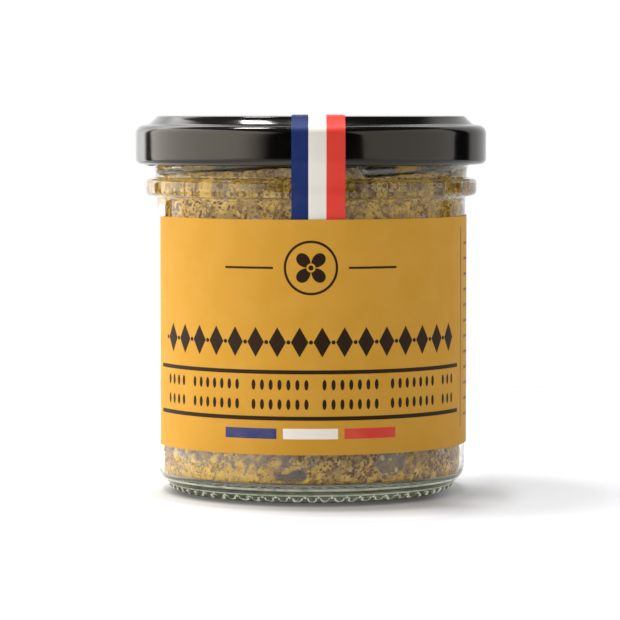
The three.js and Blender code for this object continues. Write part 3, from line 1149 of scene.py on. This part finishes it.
@dataclass
class Label:
    """The paper sheet round the body, raised a little where the seal band runs under it."""

    start: float = -73.0
    end: float = 245.0
    columns: int = 318
    rows: int = 48
    paper: float = 0.15
    bulge: float = 0.12
    finish: Print = field(default_factory=Print)

    def __post_init__(self) -> None:
        """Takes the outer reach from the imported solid."""
        reach = Reach.of(Node.LABEL)
        self.low = float(reach.low[2])
        self.high = float(reach.high[2])
        self.radius = float(-reach.low[1])

    def build(self, band: "SealBand") -> None:
        """Rolls a flat grid round the body and gives it the paper's thickness."""
        piece, flat = flat_grid("label_sheet", self.columns, self.rows)
        angle = self.start + (self.end - self.start) * flat[:, 0]
        z = self.low + (self.high - self.low) * flat[:, 1]
        radius = np.full(len(flat), self.radius)
        x = self.radius * np.sin(np.radians(angle))
        off_band = np.abs(x - band.offset) - band.width / 2
        radius += self.bulge * ease(-off_band, -1.4, 0.2) * ease(z, band.tuck_z - 1.5, band.tuck_z + 0.5)
        move_points(piece, around(radius, angle, z))
        piece.data.uv_layers[0].name = "sheet"
        corner = np.empty(len(piece.data.loops), np.int32)
        piece.data.loops.foreach_get("vertex_index", corner)
        piece.data.uv_layers["sheet"].data.foreach_set("uv", flat[corner].astype(np.float32).ravel())
        apply_modifier(piece, "SOLIDIFY", {"thickness": self.paper * MM, "offset": -1.0})
        bpy.ops.object.shade_smooth_by_angle(angle=math.radians(40))
        per_degree = math.radians(1) * self.radius
        width = (self.end - self.start) * per_degree
        material = self.finish.material(self.start * per_degree, width, self.low, self.high)
        dress(piece, material, Node.LABEL)


# Seal band


@dataclass(frozen=True)
class StripedPaper:
    """Paper printed in three stripes along its length."""

    blue: Colour = (0.006, 0.021, 0.115)
    white: Colour = (0.71, 0.685, 0.63)
    red: Colour = (0.655, 0.046, 0.03)
    first: float = 0.316
    second: float = 0.649

    def material(self, left: float, width: float) -> bpy.types.Material:
        """Stripes by the place across the band."""
        material, bench = new_material("striped_paper")
        share = (bench.millimetres()[0] - left) / width
        colour = bench.mix(share.above(self.first, 0.006), self.blue, self.white)
        colour = bench.mix(share.above(self.second, 0.006), colour, self.red)
        fibre = bench.noise(0.25, 3.0)
        tooth = bench.noise(4.0, 3.0)
        colour = bench.mix(tooth.above(0.55, 0.4) * 0.008, colour, (0.9, 0.88, 0.85))
        return finished(material, bench, {
            "Base Color": colour,
            "Roughness": 0.5 + 0.2 * fibre,
            "Normal": bench.bump(fibre, 0.01),
            "Specular IOR Level": 0.12,
        })


@dataclass
class SealBand:
    """The paper band from under the label, over the bead and the lid, and down behind."""

    jar: GlassJar
    lid: Lid
    tuck_z: float = 52.0
    paper: float = 0.12
    gap: float = 0.06
    crinkle: float = 0.05
    columns: int = 16
    panel_steps: int = 14
    finish: StripedPaper = field(default_factory=StripedPaper)

    def __post_init__(self) -> None:
        """Takes the band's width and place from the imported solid."""
        reach = Reach.of(Node.BAND)
        self.width = float(reach.high[0] - reach.low[0])
        self.offset = float(reach.high[0] + reach.low[0]) / 2

    def route(self) -> Outline:
        """The band's middle line at the front, from its tucked end up to the panel's rim."""
        jar = self.jar
        away = self.gap + self.paper
        path = Outline([(jar.body_radius + away, self.tuck_z)])
        path.line(jar.body_radius + away, jar.bead_bottom_z - 3.3, 8)
        path.line(jar.bead_radius + away, jar.bead_bottom_z + 0.8, 7)
        path.line(jar.bead_radius + away, jar.bead_top_z - 0.8, 4)
        path.line(self.lid.radius + away, self.lid.hem_z + self.lid.hem_round, 6)
        return self.lid.outside(path, away)

    def build(self) -> None:
        """Lays a flat grid along the route, across the panel and down behind."""
        front = self.route().points
        rows = 2 * len(front) + self.panel_steps - 1
        piece, flat = flat_grid("seal_strip", self.columns, rows - 1)
        x = self.offset + self.width * (flat[:, 0] - 0.5)
        row = np.rint(flat[:, 1] * (rows - 1)).astype(int)
        line = np.array(front)
        step = np.minimum(row, rows - 1 - row)
        on_panel = step >= len(front)
        radius = line[np.minimum(step, len(front) - 1), 0]
        z = line[np.minimum(step, len(front) - 1), 1]
        depth = np.sqrt(radius**2 - x**2)
        share = (row - (len(front) - 1)) / self.panel_steps
        y = np.where(on_panel, (2 * share - 1) * depth, np.where(row < rows / 2, -depth, depth))
        points = np.stack((x, y, z), axis=1)
        crinkle = self.crinkle * wander(points, 6.0, 2.0)
        move_points(piece, points + np.stack((0 * x, np.sign(y) * crinkle, 0.4 * crinkle), axis=1))
        apply_modifier(piece, "SOLIDIFY", {"thickness": self.paper * MM, "offset": -1.0})
        with editing():
            bpy.ops.mesh.normals_make_consistent(inside=False)
        bpy.ops.object.shade_smooth_by_angle(angle=math.radians(40))
        dress(piece, self.finish.material(self.offset - self.width / 2, self.width), Node.BAND)


# Studio


@dataclass(frozen=True)
class Softbox:
    """An upright or level sheet of light that faces the jar, in metres."""

    name: str
    azimuth: float
    elevation: float
    distance: float
    width: float
    height: float
    radiance: float
    colour: Colour
    shift: float = 0.0
    fade: float = 0.0

    def soften(self, lamp: bpy.types.Light) -> None:
        """Lets the sheet fade out over a share of its width, at the end that its shift goes to."""
        lamp.use_nodes = True
        bench = NodeBench(lamp.node_tree)
        along = bench.axes(bench.node("ShaderNodeNewGeometry").outputs["Parametric"])[0]
        strength = along.below(1 - self.fade / 2, self.fade)
        light = bench.node("ShaderNodeEmission", {}, {"Color": (1.0, 1.0, 1.0), "Strength": strength})
        bench.node("ShaderNodeOutputLight", {}, {"Surface": light.outputs[0]})

    def build(self) -> None:
        """Adds the lamp where its azimuth, from the front towards the right, and elevation say."""
        lamp = bpy.data.lights.new(self.name, "AREA")
        lamp.shape = "RECTANGLE"
        lamp.size = self.width
        lamp.size_y = self.height
        lamp.energy = 4 * self.width * self.height * self.radiance
        lamp.color = self.colour
        if self.fade:
            self.soften(lamp)
        made = bpy.data.objects.new(self.name, lamp)
        bpy.context.scene.collection.objects.link(made)
        turn = math.radians(self.azimuth)
        tip = math.radians(self.elevation)
        flat = self.distance * math.cos(tip)
        x = flat * math.sin(turn) + self.shift * math.cos(turn)
        y = self.shift * math.sin(turn) - flat * math.cos(turn)
        made.location = (x, y, self.distance * math.sin(tip))
        made.rotation_euler = (math.pi / 2 - tip, 0.0, turn)
        made.visible_camera = False


@dataclass(frozen=True)
class WhiteSweep:
    """White paper with painted light and shade: brighter to the left, a painted shadow where the jar stands,
    and a painted glow round its cast shadow.
    """

    plain: Colour = (0.555, 0.568, 0.59)
    # bright: painted light, a brighter patch left of the jar that lightens the shadows there
    bright: Colour = (0.82, 0.825, 0.83)
    # dark: painted shadow where the jar stands
    dark: Colour = (0.05, 0.05, 0.055)
    painted_light_reach: Point = (-110.0, -22.0)
    painted_shadow_radius: float = 29.5
    painted_shadow_forward: float = 6.0
    glow_ring_reach: Point = (37.0, 52.0)
    glow_ring_aside: float = 4.0
    glow_beside_reach: Point = (26.0, 35.5)
    # lift: strength of the painted glow that lightens the floor round the jar's shadow
    lift: float = 0.17

    def material(self) -> bpy.types.Material:
        """Matt paper by the place on the floor, with painted light, a painted shadow and a painted glow."""
        material, bench = new_material("white_floor")
        x, y, _ = bench.millimetres()
        forward = y + self.painted_shadow_forward
        # painted light: the floor is brighter to the left of the jar
        bright = x.between(*self.painted_light_reach, 50)
        # painted contact shadow under the jar's foot
        painted_shadow = bench.away(x, forward).below(self.painted_shadow_radius, 5)
        # painted glow: a ring round the jar's shadow in front, a patch beside it, and the bright patch to the
        # left
        ring = bench.away(x - self.glow_ring_aside, forward).between(*self.glow_ring_reach, 6) * x.below(24, 14)
        glow_beside = x.between(*self.glow_beside_reach, 8) * y.above(-30, 10)
        painted_glow_mask = bright * (1 - painted_shadow) * 0.6 | ring | glow_beside
        return finished(material, bench, {
            "Base Color": bench.mix(painted_shadow * 0.7, bench.mix(bright, self.plain, self.bright), self.dark),
            "Roughness": 0.9,
            "Emission Color": bench.mix(painted_glow_mask, (0.0, 0.0, 0.0), (1.0, 1.0, 1.0)),
            "Emission Strength": self.lift,
            "Specular IOR Level": 0.1,
        })


@dataclass(frozen=True)
class Surroundings:
    """What lies in each direction: white behind the jar and for the camera, dim elsewhere."""

    facing: float = 6.0
    half_width: float = 47.0
    top: float = 0.66
    dim: float = 0.015

    def light(self, bench: NodeBench) -> Value:
        """The light from each direction, stronger high up and to the left."""
        x, y, z = bench.axes(bench.node("ShaderNodeTexCoord").outputs["Generated"])
        turn = math.radians(self.facing)
        behind = (math.cos(turn) * y + math.sin(turn) * x) / (bench.away(x, y) + 0.001)
        back = behind.above(math.cos(math.radians(self.half_width)), 0.06) * z.below(self.top, 0.16)
        left = 0 - x
        across = 1.0 + (left * 1.2 | 0.0) + ((left - 0.42) * 5.5 | 0.0) - (x * 0.5 | 0.0)
        band = z.above(0.46, 0.14) * x.below(0.28, 0.2)
        glow = z.above(0.62, 0.2) * (0.055 + (left * 0.22 | 0.0))
        return self.dim + glow + back * across * (1 + 0.9 * band)

    def build(self) -> None:
        """Makes the world."""
        world = bpy.data.worlds.new("studio")
        bpy.context.scene.world = world
        world.use_nodes = True
        bench = NodeBench(world.node_tree)
        camera = Value(bench, bench.node("ShaderNodeLightPath").outputs["Is Camera Ray"])
        strength = camera + (1 - camera) * self.light(bench)
        light = bench.node("ShaderNodeBackground", {}, {"Color": (1.0, 1.0, 1.0), "Strength": strength})
        bench.node("ShaderNodeOutputWorld", {}, {"Surface": light.outputs[0]})


@dataclass
class Studio:
    """A white sweep, softboxes left, right and above, and the camera, in metres."""

    photo_width: float = 620.0
    focal_pixels: float = 3370.4
    sensor_width: float = 36.0
    camera_place: Triple = (-0.00019, -0.699, 0.07914)
    camera_tilt: float = 3.457
    floor_front: float = 0.8
    floor_back: float = 0.25
    floor_side: float = 1.3
    bounces: int = 16
    floor: WhiteSweep = WhiteSweep()
    surroundings: Surroundings = Surroundings()
    lamps: tuple[Softbox, ...] = (
        Softbox("key_left", -83.3, 22, 0.75, 2.0, 0.85, 2.33, (1.0, 0.95, 0.88), shift=0.255, fade=0.39),
        Softbox("fill_right", 74, 22, 0.75, 1.153, 0.85, 0.93, (1.0, 0.97, 0.93), shift=-0.0935),
        Softbox("glint", -121.3, 71.2, 0.8, 0.14, 0.13, 30.0, (1.0, 1.0, 1.0)),
        Softbox("overhead", 172, 80, 0.8, 0.12, 0.27, 47.0, (1.0, 1.0, 1.0)),
    )

    def build_camera(self) -> None:
        """Sets the camera at the photograph's place."""
        lens = bpy.data.cameras.new("camera")
        lens.sensor_width = self.sensor_width
        lens.lens = lens.sensor_width * self.focal_pixels / self.photo_width
        camera = bpy.data.objects.new("camera", lens)
        bpy.context.scene.collection.objects.link(camera)
        camera.location = self.camera_place
        camera.rotation_euler = (math.radians(90 - self.camera_tilt), 0.0, 0.0)
        bpy.context.scene.camera = camera

    def build_floor(self) -> None:
        """Lays a white floor that ends short of what the lid's skirt mirrors."""
        floor = new_piece("floor", bpy.ops.mesh.primitive_plane_add, size=1.0)
        points = points_of(floor) * MM
        points[:, 0] *= 2 * self.floor_side
        points[:, 1] = np.where(points[:, 1] > 0, self.floor_back, -self.floor_front)
        move_points(floor, points / MM)
        floor.data.materials.append(self.floor.material())

    def build(self) -> None:
        """Makes the whole set."""
        self.build_camera()
        self.build_floor()
        self.surroundings.build()
        for lamp in self.lamps:
            lamp.build()
        scene = bpy.context.scene
        scene.view_settings.view_transform = "Standard"
        scene.cycles.transmission_bounces = self.bounces
        scene.cycles.glossy_bounces = self.bounces
        scene.cycles.transparent_max_bounces = self.bounces
        scene.cycles.max_bounces = self.bounces + 4


def main() -> None:
    """Builds the set and the jar, piece by piece."""
    logging.basicConfig(level=logging.INFO, format="%(name)s: %(message)s")
    Studio().build()
    jar = GlassJar()
    lid = Lid()
    band = SealBand(jar, lid)
    jar.build()
    Mustard(jar).build()
    lid.build()
    Label().build(band)
    band.build()


if __name__ == "__main__":
    main()
